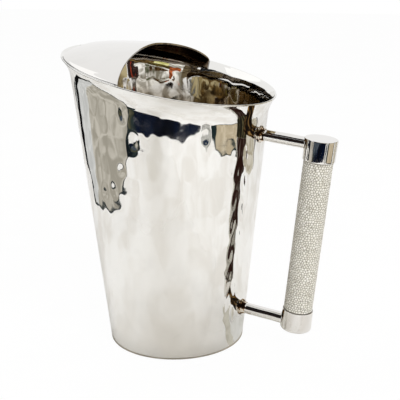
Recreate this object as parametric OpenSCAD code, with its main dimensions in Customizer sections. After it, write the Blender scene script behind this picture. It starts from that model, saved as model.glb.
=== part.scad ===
// Hammered metal pitcher: a tapered wall with a slanted, flared mouth, an arched ice guard
// seated inside the lip, and a bar handle clamped between two round stems.
// Origin at the centre of the foot, +Z up, handle towards +X, spout towards -X.

/* [Wall] */
// Outside radius at the foot
base_r = 53; // [44:0.5:64]
// Outside radius of the tapered wall at the height of the rim's middle
mouth_r = 75.4; // [68:0.2:86]
// Height of the rim halfway between spout and handle
rim_h = 209.3; // [190:0.5:250]
// Tilt of the rim in degrees, rising to the spout
rim_tilt = 12.3; // [6:0.1:16]
// How far the rim's spout and handle ends lift out of its plane
rim_sweep = 0.6; // [0:0.1:3]
// Thickness of the sheet
wall_t = 1.2; // [0.9:0.1:2]
// Rounding of the foot's outer edge
foot_round = 0.6; // [0.2:0.1:0.8]
// Thickness of the bottom disc
base_t = 1.5; // [0.8:0.1:3]

/* [Lip] */
// How far the lip flares out beyond the wall
lip_flare = 4.9; // [3:0.1:8]
// Height of the flared lip below the rim
lip_h = 16; // [11:0.5:20]
// Power of the lip's outward curve, higher turns later and sharper
lip_curl = 2.6; // [1.8:0.1:3.4]

/* [Ice guard] */
// Thickness of the guard's sheet
guard_t = 1.2; // [0.8:0.1:1.6]
// Angle from the spout to the guard's rear feet
guard_rear_angle = 87.8; // [70:0.2:94]
// Angle from the spout to the corners of the pouring slot
slot_angle = 34.9; // [25:0.1:45]
// Rise of the rear arch above its feet
guard_rear_rise = 21.1; // [10:0.1:30]
// Rise of the front edge's arch above its feet
guard_front_rise = 6.1; // [3:0.1:9]
// How far the rear edge bows towards the spout
guard_rear_bow = 11.9; // [0:0.1:20]
// How far the front edge bows towards the spout
guard_front_bow = 2.9; // [0:0.1:4]
// Height of the skirt that hugs the inside of the lip
guard_skirt = 6; // [3:0.5:7]
// How far the guard's margin lies below the rim's edge
guard_drop = 0.5; // [0.3:0.1:1]
// Power of the arch across its width, 2 is an ellipse
arch_width_power = 1.63; // [1.4:0.01:2.4]
// Power of the arch over its height, 2 is an ellipse
arch_height_power = 1.6; // [1.4:0.01:2.4]

/* [Handle] */
// Drop from the lip's root at the handle to the upper cap's end face
handle_drop = 8.7; // [6.5:0.1:34]
// Height of the lower cap's end face above the table
handle_foot_h = 19.8; // [10:0.2:50]
// Lean of the handle in degrees, its top away from the wall
handle_lean = 6.5; // [3:0.1:9]
// Finger space between wall and grip at the handle's middle
hand_gap = 34.5; // [25:0.5:60]
// Radius of the wrapped grip
grip_r = 10.9; // [9.5:0.1:11.2]
// Thickness of the pebbled wrap
sleeve_t = 1.4; // [0.6:0.1:2]
// Radius of the tie rod
rod_r = 2.5; // [1.5:0.1:3]
// Depth of the tie rod's ends in the caps' heads
rod_seat = 5; // [3:0.5:7]

/* [Caps] */
// Radius of the upper cap at its end face
upper_cap_r = 12.1; // [11.8:0.1:14]
// Radius of the lower cap at its end face
lower_cap_r = 11.8; // [11.8:0.1:14]
// Length of each cap
cap_len = 16; // [15.5:0.5:20]
// Loss of radius from a cap's end face to its mouth
cap_taper = 0.3; // [0:0.05:0.3]
// Edge rounding of the upper cap
upper_cap_round = 0.4; // [0.2:0.1:2]
// Edge rounding of the lower cap
lower_cap_round = 1.8; // [0.2:0.1:2.5]
// Depth of the socket that takes the grip's end
socket_depth = 5; // [3:0.5:5.5]

/* [Stems] */
// Radius of a stem
stem_r = 4.3; // [3:0.1:4.6]
// Distance from a cap's end face to its stem's axis
stem_inset = 5.2; // [5:0.1:5.6]
// Depth of a stem's end in its cap
stem_seat = 4.5; // [2:0.5:6]
// Radius of a collar against the wall
collar_r = 6.3; // [5.4:0.1:8]
// Length of a collar along its stem
collar_len = 3.6; // [2:0.1:6]
// Thickness of a collar's thin edge on its stem
collar_edge = 0.3; // [0.2:0.1:0.6]
// Thickness of a collar's foot against the wall
collar_foot = 0.8; // [0.5:0.1:1.2]

/* [Fit] */
// Gap between brazed or seated faces
seat_gap = 0.1; // [0.08:0.01:0.15]
// Gap between the guard's skirt and the lip that it is brazed to
guard_gap = 0.16; // [0.16:0.01:0.3]

/* [Hidden] */

// Fineness of the lofts and curves
wall_sides = 96;
wall_steps = 4;
lip_steps = 10;
round_steps = 4;
guard_rows = 16;
guard_columns = 28;
skirt_steps = 5;
collar_steps = 8;
cone_sides = 360;
$fn = 96;

// Length by which cuts run past the faces they open
overrun = 2;

// Rise of the rim towards the spout per length
rim_slope = tan(rim_tilt);
// Gain of the wall's outside radius per height
wall_slope = (mouth_r - base_r) / rim_h;

function wall_radius(z) = base_r + wall_slope * z;

// Height of the rim's edge in direction a, where the tilted plane cuts the flared cone
function plane_height(a) =
    (rim_h - rim_slope * cos(a) * (base_r + lip_flare)) / (1 + rim_slope * wall_slope * cos(a));

function rim_height(a) = plane_height(a) + rim_sweep * pow(cos(a), 2);

// Outer face of the lip in direction a, with share 0 at its root and 1 at the rim, as radius and height
function lip_outer(a, share) =
    let (z = rim_height(a) - lip_h * (1 - share))
    [wall_radius(z) + lip_flare * pow(share, lip_curl), z];

// Inward step through the sheet at that place, square to the sheet
function lip_inward(share, depth) =
    let (lean = wall_slope + lip_flare * lip_curl * pow(share, lip_curl - 1) / lip_h)
    [-depth, depth * lean] / norm([1, lean]);

function lip_inner(a, share, depth = wall_t) = lip_outer(a, share) + lip_inward(share, depth);

// Outer face of the plain wall, with share 0 above the rounded foot and 1 at the lip's root
function wall_outer(a, share) =
    let (z = foot_round + (lip_outer(a, 0)[1] - foot_round) * share)
    [wall_radius(z), z];

// Inner face of the plain wall, with share 0 at the table and 1 at the lip's root
function wall_inner(a, share) =
    let (z = lip_inner(a, 0)[1] * share)
    [wall_radius(z) - wall_t * norm([1, wall_slope]), z];

// Rounded outer edge of the foot, with turn 0 at the table
function foot_edge(turn) =
    [wall_radius(foot_round) - foot_round * (1 - sin(turn)), foot_round * (1 - cos(turn))];

// Section of the sheet in direction a, from the foot up the outside and down the inside
function wall_section(a) = [
    for (i = [0 : round_steps - 1]) foot_edge(90 * i / round_steps),
    for (i = [0 : wall_steps - 1]) wall_outer(a, i / wall_steps),
    for (i = [0 : lip_steps]) lip_outer(a, i / lip_steps),
    for (i = [lip_steps : -1 : 0]) lip_inner(a, i / lip_steps),
    for (i = [wall_steps - 1 : -1 : 0]) wall_inner(a, i / wall_steps)
];

function at_angle(p, a) = [p[0] * cos(a), p[0] * sin(a), p[1]];

// Skin over closed loops of equal length that stand in a ring
module ring_loft(loops) {
    n = len(loops);
    m = len(loops[0]);
    points = [for (loop = loops) each loop];
    faces = [
        for (i = [0 : n - 1], j = [0 : m - 1])
            let (a = i * m, b = ((i + 1) % n) * m, k = (j + 1) % m)
            each [[a + j, b + k, b + j], [a + j, a + k, b + k]]
    ];
    polyhedron(points, faces);
}

// Skin over closed strips of equal length that stand in a row, with both ends closed
module strip_loft(loops) {
    n = len(loops);
    m = len(loops[0]);
    last = (n - 1) * m;
    points = [for (loop = loops) each loop];
    sides = [
        for (i = [0 : n - 2], j = [0 : m - 1])
            let (a = i * m, b = a + m, k = (j + 1) % m)
            each [[a + j, b + k, b + j], [a + j, a + k, b + k]]
    ];
    ends = [
        for (j = [0 : m / 2 - 2])
            let (k = m - 1 - j)
            each [[j, k - 1, j + 1], [j, k, k - 1],
                  [last + j, last + j + 1, last + k - 1], [last + j, last + k - 1, last + k]]
    ];
    polyhedron(points, concat(sides, ends));
}

module body_wall() {
    color([0.84, 0.82, 0.79])
        ring_loft([
            for (i = [0 : wall_sides - 1])
                let (a = 360 * i / wall_sides)
                [for (p = wall_section(a)) at_angle(p, a)]
        ]);
}

module base_plate() {
    color([0.78, 0.76, 0.73])
        cylinder(h = base_t, r = wall_inner(0, 0)[0] - seat_gap);
}

// Share of the lip's height at which the guard's margin and its skirt's lower edge lie
margin_share = 1 - guard_drop / lip_h;
skirt_share = margin_share - guard_skirt / lip_h;

// Direction of the guard's foot on the far side, from the rear edge at share 0 to the slot at share 1
function guard_foot_angle(share) = 180 - guard_rear_angle + (guard_rear_angle - slot_angle) * share;

// Point of the skirt's outer face, with skirt share 0 at its lower edge and 1 at the margin
function skirt_point(share, up_share) =
    let (a = guard_foot_angle(share))
    at_angle(lip_inner(a, skirt_share + (margin_share - skirt_share) * up_share, wall_t + guard_gap), a);

// Point of the arch over the mouth, with turn 0 at the far foot and 180 at the near foot
function arch_point(share, turn) =
    let (foot = skirt_point(share, 1),
         rise = guard_rear_rise + (guard_front_rise - guard_rear_rise) * share,
         bow = guard_rear_bow + (guard_front_bow - guard_rear_bow) * share,
         across = sign(cos(turn)) * pow(abs(cos(turn)), 2 / arch_width_power),
         up = pow(abs(sin(turn)), 2 / arch_height_power))
    [foot[0] - bow * (1 - across * across), foot[1] * across, foot[2] + rise * up];

function near_side(p) = [p[0], -p[1], p[2]];

// Outer face of the guard in one row, from the far skirt over the arch to the near skirt
function guard_row(share) = [
    for (i = [0 : skirt_steps - 1]) skirt_point(share, i / skirt_steps),
    for (i = [0 : guard_columns]) arch_point(share, 180 * i / guard_columns),
    for (i = [skirt_steps - 1 : -1 : 0]) near_side(skirt_point(share, i / skirt_steps))
];

function unit(v) = v / norm(v);

// Normal of a grid of points at row i and column j, from its neighbours
function grid_normal(grid, i, j) =
    let (rows = len(grid) - 1,
         columns = len(grid[0]) - 1,
         along = grid[min(i + 1, rows)][j] - grid[max(i - 1, 0)][j],
         across = grid[i][min(j + 1, columns)] - grid[i][max(j - 1, 0)])
    unit(cross(along, across));

module ice_guard() {
    grid = [for (i = [0 : guard_rows]) guard_row(i / guard_rows)];
    columns = len(grid[0]) - 1;
    color([0.88, 0.87, 0.85])
        strip_loft([
            for (i = [0 : guard_rows]) [
                for (j = [0 : columns]) grid[i][j],
                for (j = [columns : -1 : 0]) grid[i][j] - guard_t * grid_normal(grid, i, j)
            ]
        ]);
}

// Height of the upper cap's end face
handle_top_h = rim_height(0) - lip_h - handle_drop;
// Height of the handle's middle
handle_mid_h = (handle_top_h + handle_foot_h) / 2;
// Length of the handle over both caps
handle_len = (handle_top_h - handle_foot_h) / cos(handle_lean);
// Distance of the handle's middle from the pitcher's axis
handle_mid_x = wall_radius(handle_mid_h) + hand_gap + grip_r;
// Distance of each stem's axis from the handle's middle, along the handle
stem_offset = handle_len / 2 - stem_inset;
// Half length of the grip's hidden and shown parts together
grip_half_len = handle_len / 2 - cap_len + socket_depth;
// Radius of the dowel inside the wrap
core_r = grip_r - sleeve_t - seat_gap;

// Places its children in the handle's frame, with +Z up along the grip
module at_handle() {
    translate([handle_mid_x, 0, handle_mid_h])
        rotate([0, handle_lean, 0])
            children();
}

// Places its children on a stem's axis, with +Z from the grip's axis to the wall
module at_stem(offset) {
    at_handle()
        translate([0, 0, offset])
            rotate([0, -90, 0])
                children();
}

// Length of a stem's axis from the grip's axis to the wall
function stem_reach(offset) =
    let (x = handle_mid_x + offset * sin(handle_lean),
         z = handle_mid_h + offset * cos(handle_lean))
    (x - wall_radius(z)) / (cos(handle_lean) + wall_slope * sin(handle_lean));

// The wall's outer cone as a solid, grown by the seat gap
module wall_cone() {
    translate([0, 0, -overrun])
        cylinder(h = rim_h + overrun,
                 r1 = wall_radius(-overrun) + seat_gap,
                 r2 = wall_radius(rim_h) + seat_gap,
                 $fn = cone_sides);
}

// A stem from its blind seat in the cap to the wall, cut to the wall's curve
module stem(offset, cap_r) {
    start = cap_r - stem_seat;
    color([0.8, 0.78, 0.75])
        difference() {
            at_stem(offset)
                translate([0, 0, start])
                    cylinder(h = stem_reach(offset) + overrun - start, r = stem_r);
            wall_cone();
        }
}

module upper_stem() {
    stem(stem_offset, upper_cap_r);
}

module lower_stem() {
    stem(-stem_offset, lower_cap_r);
}

// A collar that spreads with a hollow curve from its stem to the wall
module collar(offset) {
    spread = collar_r - stem_r - seat_gap - collar_edge;
    curve = [
        for (i = [0 : collar_steps])
            let (turn = 90 * i / collar_steps)
            [collar_r - spread * sin(turn), -collar_foot - (collar_len - collar_foot) * (1 - cos(turn))]
    ];
    color([0.74, 0.71, 0.67])
        difference() {
            at_stem(offset)
                translate([0, 0, stem_reach(offset)])
                    rotate_extrude()
                        polygon(concat(
                            [[stem_r + seat_gap, -collar_len], [stem_r + seat_gap, overrun], [collar_r, overrun]],
                            curve));
            wall_cone();
        }
}

module upper_collar() {
    collar(stem_offset);
}

module lower_collar() {
    collar(-stem_offset);
}

// A cap with its end face at z = 0 and its mouth below, with a socket for the grip, a blind seat
// for its stem in its side and a blind hole for the tie rod
module cap(end_r, edge_round) {
    head_len = cap_len - socket_depth;
    edge = [
        for (i = [0 : round_steps])
            let (turn = 90 * i / round_steps)
            [end_r - edge_round * (1 - sin(turn)), -edge_round * (1 - cos(turn))]
    ];
    difference() {
        rotate_extrude()
            polygon(concat([[0, 0]], edge, [[end_r - cap_taper, -cap_len], [0, -cap_len]]));
        translate([0, 0, -cap_len - overrun])
            cylinder(h = socket_depth + overrun, r = grip_r + seat_gap);
        translate([0, 0, -head_len - overrun])
            cylinder(h = rod_seat + overrun, r = rod_r + seat_gap);
        translate([0, 0, -stem_inset])
            rotate([0, -90, 0])
                translate([0, 0, end_r - stem_seat - seat_gap])
                    cylinder(h = stem_seat + seat_gap + overrun, r = stem_r + seat_gap);
    }
}

module upper_cap() {
    color([0.82, 0.8, 0.77])
        at_handle()
            translate([0, 0, handle_len / 2])
                cap(upper_cap_r, upper_cap_round);
}

module lower_cap() {
    color([0.82, 0.8, 0.77])
        at_handle()
            mirror([0, 0, 1])
                translate([0, 0, handle_len / 2])
                    cap(lower_cap_r, lower_cap_round);
}

// A tube on the grip's axis, with an end gap at both ends
module grip_tube(outer_r, inner_r) {
    half_len = grip_half_len - seat_gap;
    at_handle()
        difference() {
            translate([0, 0, -half_len])
                cylinder(h = 2 * half_len, r = outer_r);
            translate([0, 0, -half_len - overrun])
                cylinder(h = 2 * (half_len + overrun), r = inner_r);
        }
}

module grip_sleeve() {
    color([0.89, 0.87, 0.83])
        grip_tube(grip_r, grip_r - sleeve_t);
}

module grip_core() {
    color([0.72, 0.58, 0.4])
        grip_tube(core_r, rod_r + seat_gap);
}

module tie_rod() {
    half_len = grip_half_len + rod_seat - seat_gap;
    color([0.6, 0.6, 0.6])
        at_handle()
            translate([0, 0, -half_len])
                cylinder(h = 2 * half_len, r = rod_r);
}

body_wall();
base_plate();
ice_guard();
upper_stem();
lower_stem();
upper_collar();
lower_collar();
upper_cap();
lower_cap();
grip_sleeve();
grip_core();
tie_rod();
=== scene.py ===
import math

import bpy
import numpy as np
from mathutils import Matrix, Vector, kdtree

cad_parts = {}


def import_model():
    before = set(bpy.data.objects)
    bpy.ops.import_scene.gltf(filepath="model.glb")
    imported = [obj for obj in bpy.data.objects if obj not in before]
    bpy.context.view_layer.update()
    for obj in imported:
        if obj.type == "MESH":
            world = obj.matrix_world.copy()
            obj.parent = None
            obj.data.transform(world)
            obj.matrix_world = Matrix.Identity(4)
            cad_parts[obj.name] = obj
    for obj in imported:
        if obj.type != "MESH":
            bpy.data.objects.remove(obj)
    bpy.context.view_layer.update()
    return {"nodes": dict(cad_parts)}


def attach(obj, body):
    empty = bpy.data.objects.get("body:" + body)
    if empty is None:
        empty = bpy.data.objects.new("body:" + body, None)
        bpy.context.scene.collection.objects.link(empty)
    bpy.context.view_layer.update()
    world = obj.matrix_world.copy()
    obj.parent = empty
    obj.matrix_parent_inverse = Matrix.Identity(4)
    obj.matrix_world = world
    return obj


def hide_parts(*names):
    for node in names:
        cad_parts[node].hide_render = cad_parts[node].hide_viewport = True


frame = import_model()

# Sizes of the pitcher, in millimetres and degrees, as the CAD model has them
BASE_R = 53.0
MOUTH_R = 75.4
RIM_H = 209.3
RIM_TILT = 12.3
RIM_SWEEP = 0.6
WALL_T = 1.2
FOOT_ROUND = 0.6
LIP_FLARE = 4.9
LIP_H = 16.0
LIP_CURL = 2.6
GUARD_T = 1.2
GUARD_REAR_ANGLE = 87.8
SLOT_ANGLE = 34.9
GUARD_REAR_RISE = 21.1
GUARD_FRONT_RISE = 6.1
GUARD_REAR_BOW = 11.9
GUARD_FRONT_BOW = 2.9
GUARD_SKIRT = 6.0
GUARD_DROP = 0.5
GUARD_GAP = 0.16
ARCH_WIDTH_POWER = 1.63
ARCH_HEIGHT_POWER = 1.6
HANDLE_DROP = 8.7
HANDLE_FOOT_H = 19.8
HANDLE_LEAN = math.radians(6.5)
HAND_GAP = 34.5
GRIP_R = 10.9
SLEEVE_T = 1.4
UPPER_CAP_R = 12.1
LOWER_CAP_R = 11.8
CAP_LEN = 16.0
CAP_TAPER = 0.3
UPPER_CAP_ROUND = 0.4
LOWER_CAP_ROUND = 1.8
SOCKET_DEPTH = 5.0
STEM_R = 4.3
STEM_INSET = 5.2
STEM_SEAT = 4.5
COLLAR_R = 6.3
COLLAR_LEN = 3.6
COLLAR_EDGE = 0.3
COLLAR_FOOT = 0.8
SEAT_GAP = 0.1

RIM_SLOPE = math.tan(math.radians(RIM_TILT))
WALL_SLOPE = (MOUTH_R - BASE_R) / RIM_H
METRE = 0.001
WHITE = (1, 1, 1, 1)


# Shader maths

class Value:
    """An output of a finish's nodes that takes part in sums."""

    def __init__(self, finish, socket):
        self.finish = finish
        self.socket = socket

    def maths(self, operation, *terms):
        inputs = dict(enumerate(terms))
        return self.finish.node("ShaderNodeMath", {"operation": operation}, inputs)

    def __add__(self, other):
        return self.maths("ADD", self, other)

    def __radd__(self, other):
        return self.maths("ADD", other, self)

    def __sub__(self, other):
        return self.maths("SUBTRACT", self, other)

    def __rsub__(self, other):
        return self.maths("SUBTRACT", other, self)

    def __mul__(self, other):
        return self.maths("MULTIPLY", self, other)

    def __rmul__(self, other):
        return self.maths("MULTIPLY", other, self)

    def between(self, low, high):
        """0 below low, 1 above high, and a smooth ramp from one to the other"""
        settings = {"interpolation_type": "SMOOTHSTEP"}
        inputs = {"Value": self, "From Min": low, "From Max": high}
        return self.finish.node("ShaderNodeMapRange", settings, inputs)


def shade(red, green, blue):
    """A colour given as it shows on a screen, 0 to 255, in the linear values that the nodes use"""
    parts = [c / 255 for c in (red, green, blue)]
    linear = [c / 12.92 if c <= 0.04045 else ((c + 0.055) / 1.055) ** 2.4 for c in parts]
    return (*linear, 1.0)


class Finish:
    """A material's nodes, or the world's."""

    def __init__(self, owner):
        self.owner = owner
        owner.use_nodes = True
        self.tree = owner.node_tree
        self.tree.nodes.clear()

    def node(self, kind, settings=None, inputs=None, output=0):
        made = self.tree.nodes.new(kind)
        for name, value in (settings or {}).items():
            setattr(made, name, value)
        for key, value in (inputs or {}).items():
            if isinstance(value, Value):
                self.tree.links.new(value.socket, made.inputs[key])
            else:
                made.inputs[key].default_value = value
        return Value(self, made.outputs[output]) if made.outputs else None

    def tint(self, factor, first, second):
        """Colour that goes from first to second as factor goes from 0 to 1"""
        inputs = {0: factor, 6: first, 7: second}
        return self.node("ShaderNodeMix", {"data_type": "RGBA"}, inputs, 2)

    def place(self):
        return self.node("ShaderNodeTexCoord", output="Object")

    def noise(self, place, scale, detail=2.0, rough=0.5, distortion=0.0):
        inputs = {"Vector": place, "Scale": scale, "Detail": detail, "Roughness": rough,
                  "Distortion": distortion}
        return self.node("ShaderNodeTexNoise", {}, inputs)

    def stretched(self, place, scale):
        """The place with each axis scaled on its own"""
        return self.node("ShaderNodeMapping", {}, {"Vector": place, "Scale": scale})

    def attribute(self, name):
        return self.node("ShaderNodeAttribute", {"attribute_name": name}, output="Fac")

    def light_path(self, ray):
        return self.node("ShaderNodeLightPath", output=ray)

    def bump(self, height, strength, distance):
        inputs = {"Strength": strength, "Distance": distance, "Height": height}
        return self.node("ShaderNodeBump", {}, inputs)

    def glow(self, colour, strength=1.0):
        return self.node("ShaderNodeEmission", {}, {"Color": colour, "Strength": strength})

    def clear(self):
        return self.node("ShaderNodeBsdfTransparent", {}, {"Color": WHITE})

    def mix(self, factor, first, second):
        """Surface that goes from first to second as factor goes from 0 to 1"""
        return self.node("ShaderNodeMixShader", {}, {0: factor, 1: first, 2: second})

    def coat(self, inputs):
        """Shows the one surface that the inputs describe"""
        return self.show(self.node("ShaderNodeBsdfPrincipled", {}, inputs))

    def show(self, surface):
        self.node(OUTPUTS[type(self.owner)], {}, {"Surface": surface})
        return self.owner


OUTPUTS = {bpy.types.Material: "ShaderNodeOutputMaterial", bpy.types.World: "ShaderNodeOutputWorld"}


def new_finish(name):
    return Finish(bpy.data.materials.new(name))


def polished_nickel(name, colour, inside, stain, ripple):
    """Mirror-polished nickel with faint haze, wiping marks and a slight ripple of its surface. The
    attribute inside, 0 to 1, brings in the duller colour, painted shade deep in the pitcher and under
    the guard, and its cloudy stains."""
    finish = new_finish(name)
    place = finish.place()
    hidden = finish.attribute("inside")
    haze = finish.noise(place, 38.0, 4.0, 0.6).between(0.45, 0.75)
    wiping = finish.noise(finish.stretched(place, (9.0, 9.0, 1.0)), 130.0, 3.0, 0.65).between(0.5, 0.8)
    cloud = finish.noise(place, 52.0, 3.0, 0.62, 0.9).between(0.42, 0.66) * hidden.between(0.02, 0.2)
    outer = finish.tint(haze * 0.6, shade(*colour), shade(*[c * 0.965 for c in colour]))
    # The inside colour is painted shade: darker and warmer deep in the pitcher and under the guard
    warm = finish.tint(hidden, outer, shade(*inside))
    warm = finish.tint(cloud * 0.8, warm, shade(*stain))
    skin = finish.noise(place, ripple, 1.0, 0.4)
    bump = finish.bump(skin, 0.35, 0.00004)
    rough = 0.035 + 0.03 * haze + 0.015 * wiping + 0.05 * hidden + 0.05 * cloud
    inputs = {"Base Color": warm, "Metallic": 1.0, "Roughness": rough, "Normal": bump}
    return finish.coat(inputs)


def glint_painted_nickel():
    """Nickel with brassy and near-black patches, a painted reflection of the warm and dark glints round
    the collars
    """
    finish = new_finish("nickel_painted_glints")
    place = finish.place()
    patch = finish.noise(place, 280.0, 2.0, 0.5, 0.4)
    # Painted reflection: brassy and near-black patches stand in for the glints round the collars
    painted_glint = finish.tint(patch.between(0.47, 0.53), shade(228, 222, 210), shade(186, 134, 70))
    colour = finish.tint(patch.between(0.51, 0.56), painted_glint, shade(40, 28, 20))
    bump = finish.bump(patch, 0.25, 0.00003)
    inputs = {"Base Color": colour, "Metallic": 1.0, "Roughness": 0.05 + 0.12 * patch, "Normal": bump}
    return finish.coat(inputs)


def shagreen_leather():
    """Cream shagreen: glossy ivory grains with greyer gaps, worn smoother here and there, with painted
    shade in a line where it meets a cap
    """
    finish = new_finish("shagreen_cream")
    place = finish.place()
    gap = finish.attribute("gap")
    grain = finish.attribute("grain")
    cloud = finish.noise(place, 60.0, 3.0, 0.55)
    ivory = finish.tint(grain, shade(236, 233, 222), shade(248, 246, 239))
    ivory = finish.tint(cloud.between(0.4, 0.75) * 0.3, ivory, shade(222, 218, 205))
    colour = finish.tint(gap.between(0.34, 0.98), ivory, shade(146, 140, 124))
    pores = finish.noise(place, 5200.0, 2.0, 0.6)
    bump = finish.bump(pores, 0.25, 0.00005)
    # Gap values above 1 paint a line of shade where the wrap meets a cap
    colour = finish.tint(gap.between(1.2, 1.9), colour, shade(44, 38, 30))
    rough = 0.38 + 0.25 * gap + 0.12 * cloud
    inputs = {"Base Color": colour, "Roughness": rough, "Normal": bump, "Coat Weight": 0.12,
              "Coat Roughness": 0.35}
    return finish.coat(inputs)


def dowel_wood():
    """Plain beech, with grain along the dowel"""
    finish = new_finish("beech_dowel")
    place = finish.place()
    streaks = finish.noise(finish.stretched(place, (1.0, 1.0, 0.06)), 900.0, 5.0, 0.65)
    rings = finish.noise(finish.stretched(place, (1.0, 1.0, 0.1)), 160.0, 2.0, 0.5)
    pale = finish.tint(streaks.between(0.35, 0.7), shade(206, 166, 118), shade(170, 124, 78))
    colour = finish.tint(rings.between(0.4, 0.8) * 0.5, pale, shade(150, 104, 62))
    bump = finish.bump(streaks, 0.3, 0.0001)
    inputs = {"Base Color": colour, "Roughness": 0.55 + 0.2 * streaks, "Normal": bump}
    return finish.coat(inputs)


def drawn_steel():
    """Drawn rod with fine lines along its length and a few dull spots"""
    finish = new_finish("drawn_steel")
    place = finish.place()
    lines = finish.noise(finish.stretched(place, (1.0, 1.0, 0.01)), 4200.0, 4.0, 0.6)
    spots = finish.noise(place, 240.0, 3.0, 0.6).between(0.55, 0.75)
    colour = finish.tint(spots * 0.5, shade(176, 175, 172), shade(128, 122, 114))
    bump = finish.bump(lines, 0.3, 0.00003)
    inputs = {"Base Color": colour, "Metallic": 1.0, "Roughness": 0.25 + 0.25 * lines + 0.2 * spots,
              "Normal": bump}
    return finish.coat(inputs)


# Mesh helpers

def all_round(count):
    """Directions in degrees all round, one to a row"""
    return (360 * np.arange(count) / count)[:, None]


def at_turn(section, turn):
    """Points given as radius and height in direction turn, in degrees, as places in space"""
    angle = np.radians(turn)
    radius = section[..., 0]
    return np.stack([radius * np.cos(angle), radius * np.sin(angle), section[..., 1]], -1)


def in_scene(name, data):
    """A new object of a mesh, a light or a camera, in the scene"""
    made = bpy.data.objects.new(name, data)
    bpy.context.scene.collection.objects.link(made)
    return made


def skin(name, grid, ring=True, loop=True):
    """Mesh over a grid of places in millimetres. ring joins the last row to the first, and loop the
    last column to the first."""
    rows, columns = grid.shape[:2]
    i = np.arange(rows if ring else rows - 1)
    j = np.arange(columns if loop else columns - 1)
    i, j = np.meshgrid(i, j, indexing="ij")
    k = (i + 1) % rows
    l = (j + 1) % columns
    corners = [i * columns + j, k * columns + j, k * columns + l, i * columns + l]
    faces = np.stack(corners, -1).reshape(-1, 4)
    places = grid.reshape(-1, 3) * METRE
    a, b, c, d = (places[faces[:, n]] - places.mean(0) for n in range(4))
    volume = (np.cross(a, b) * c).sum() + (np.cross(a, c) * d).sum()
    if volume < 0:
        faces = faces[:, ::-1]
    mesh = bpy.data.meshes.new(name)
    mesh.from_pydata(places.tolist(), [], faces.tolist())
    mesh.shade_smooth()
    return in_scene(name, mesh)


def add_faces(piece, added):
    """Builds the piece's mesh again with more faces on the same places"""
    mesh = piece.data
    places = [tuple(v.co) for v in mesh.vertices]
    faces = [tuple(p.vertices) for p in mesh.polygons]
    mesh.clear_geometry()
    mesh.from_pydata(places, [], faces + added)
    mesh.shade_smooth()


def mark_vertices(piece, name, values):
    attribute = piece.data.attributes.new(name, "FLOAT", "POINT")
    attribute.data.foreach_set("value", np.asarray(values, dtype=np.float32).ravel())


def fit_out(piece, material, slot, *nodes):
    piece.data.materials.append(material)
    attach(piece, "root")
    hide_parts(*nodes)


# Steps of a rounded edge, and the angle from which an edge counts as sharp
ROUND_STEPS = 3
SHARP_ANGLE = 35


def bevel(piece, width):
    """Rounds the piece's sharp edges, width in millimetres"""
    made = piece.modifiers.new("edge_round", "BEVEL")
    made.width = width * METRE
    made.segments = ROUND_STEPS
    made.limit_method = "ANGLE"
    made.angle_limit = math.radians(SHARP_ANGLE)
    made.harden_normals = False


# Wall

def wall_radius(z):
    return BASE_R + WALL_SLOPE * z


def rim_height(turn):
    cosine = np.cos(np.radians(turn))
    plane = (RIM_H - RIM_SLOPE * cosine * (BASE_R + LIP_FLARE)) / (1 + RIM_SLOPE * WALL_SLOPE * cosine)
    return plane + RIM_SWEEP * cosine ** 2


def lip_lean(share):
    return WALL_SLOPE + LIP_FLARE * LIP_CURL * share ** (LIP_CURL - 1) / LIP_H


def lip_point(turn, share, depth=0.0):
    """Place in the lip in direction turn, with share 0 at its root and 1 at the rim, as radius and
    height, at a depth below the outer face"""
    z = rim_height(turn) - LIP_H * (1 - share)
    lean = lip_lean(share)
    long = np.sqrt(1 + lean ** 2)
    radius = wall_radius(z) + LIP_FLARE * share ** LIP_CURL - depth / long
    return np.stack(np.broadcast_arrays(radius, z + depth * lean / long), -1)


# The rows of hammer marks: the height they reach, how far a mark strays up and across in shares of
# the pitch, how much it tilts, and the spread of its width, height and depth
MARKED_H = 250
MARK_RISE = 0.32
MARK_SHIFT = 0.3
MARK_TILT = 0.28
MARK_WIDTHS = (0.8, 1.25)
MARK_HEIGHTS = (0.75, 1.3)
MARK_DEPTHS = (0.5, 1.35)


def scattered_marks(seed, pitch, size, depth):
    """Hammer marks in staggered rows, as pressed() takes them. pitch and size are (across, up)."""
    draw = np.random.default_rng(seed)
    marks = []
    for row in range(int(math.ceil(MARKED_H / pitch[1])) + 2):
        row_z = (row - 0.5) * pitch[1]
        count = int(round(2 * math.pi * wall_radius(row_z) / pitch[0]))
        for n in range(count):
            z = row_z + draw.uniform(-MARK_RISE, MARK_RISE) * pitch[1]
            turn = 360 * (n + 0.5 * (row % 2) + draw.uniform(-MARK_SHIFT, MARK_SHIFT)) / count
            wide = size[0] * draw.uniform(*MARK_WIDTHS)
            tall = size[1] * draw.uniform(*MARK_HEIGHTS)
            deep = depth * draw.uniform(*MARK_DEPTHS)
            marks.append((turn, z, wide, tall, deep, draw.normal(0.0, MARK_TILT), 0.0, 0.0))
    return marks


def pressed(turn, z, marks, base, crest):
    """Depth of overlapping hammer marks at each place of the wall, above the crests between them.
    A mark is a shallow bowl, given as direction, height, half width, half height, depth, tilt and how
    much deeper it is on its right and its upper side. base is the depth at a bowl's rim, and crest the
    softness of the crests."""
    swell = np.ones(turn.shape)
    for mark_turn, mark_z, wide, tall, deep, tilt, right, upper in marks:
        radius = wall_radius(mark_z)
        apart = (turn - mark_turn + 180) % 360 - 180
        near = (np.abs(z - mark_z) < 2.0 * tall) & (np.abs(apart) < math.degrees(2.4 * wide / radius))
        across = np.radians(apart[near]) * radius
        up = z[near] - mark_z
        u = (across * math.cos(tilt) + up * math.sin(tilt)) / wide
        v = (up * math.cos(tilt) - across * math.sin(tilt)) / tall
        depth = deep + right * u + upper * v
        bowl = depth * np.maximum(1 - u * u - v * v, -1)
        swell[near] += np.exp((bowl + base) / crest) * (depth > 0)
    return crest * np.log(swell)


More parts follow.
